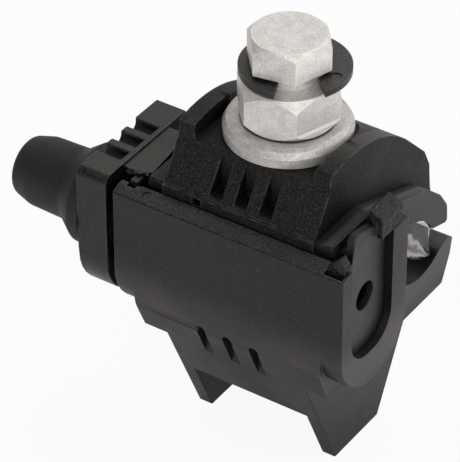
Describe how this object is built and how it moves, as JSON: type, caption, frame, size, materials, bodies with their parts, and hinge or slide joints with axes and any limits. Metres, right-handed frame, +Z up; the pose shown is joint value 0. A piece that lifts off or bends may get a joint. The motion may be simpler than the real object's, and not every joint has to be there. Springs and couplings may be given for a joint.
{
  "type": "insulation piercing connector",
  "caption": "Insulation piercing connector: two black moulded jaws with toothed contacts, drawn together by a galvanised shear-head bolt; a rubber cap closes the branch end.",
  "frame": {"origin": "on the bolt axis at the level of the feet, in the middle of the gap between the legs", "axes": "+X along both conductors towards the open branch entry, +Z up the bolt axis to the drive head, the plain front face looks to -Y"},
  "size_m": [0.07, 0.0446, 0.0795],
  "materials": {
    "plastic": "glass-filled, satin black",
    "zinc": "hot-dip galvanised, mottled",
    "contact": "tinned",
    "rubber": "matte",
    "ring": "satin black",
    "film": "clear film with grease"
  },
  "bodies": {
    "lower_jaw": {"lower_housing": "plastic", "captive_nut": "zinc", "lower_contact_left": "contact", "lower_contact_right": "contact", "lower_main_seal": "rubber", "lower_tap_seal": "rubber", "entry_seal_right": "rubber", "entry_seal_left": "rubber", "end_cover": "plastic", "tap_end_cap": "rubber"},
    "upper_jaw": {"upper_housing": "plastic", "washer": "zinc", "upper_contact_left": "contact", "upper_contact_right": "contact", "upper_main_seal": "rubber", "upper_tap_seal": "rubber", "grease_film": "film"},
    "bolt": {"shear_bolt": "zinc", "spanner_stop_ring": "ring"}
  },
  "joints": [
    {"name": "jaw_slide", "type": "slide", "parent": "lower_jaw", "child": "upper_jaw", "axis": [0, 0, 1], "range_m": [-0.004, 0.01], "deforming": ["grease_film"]},
    {"name": "bolt_turn", "type": "hinge", "parent": "upper_jaw", "child": "bolt", "pos_m": [0, 0, 0.06335], "axis": [0, 0, 1], "range_deg": [-1152, 2880]}
  ],
  "couplings": [
    {"joint": "bolt_turn", "follows": "jaw_slide", "rad_per_m": 5026.5}
  ]
}
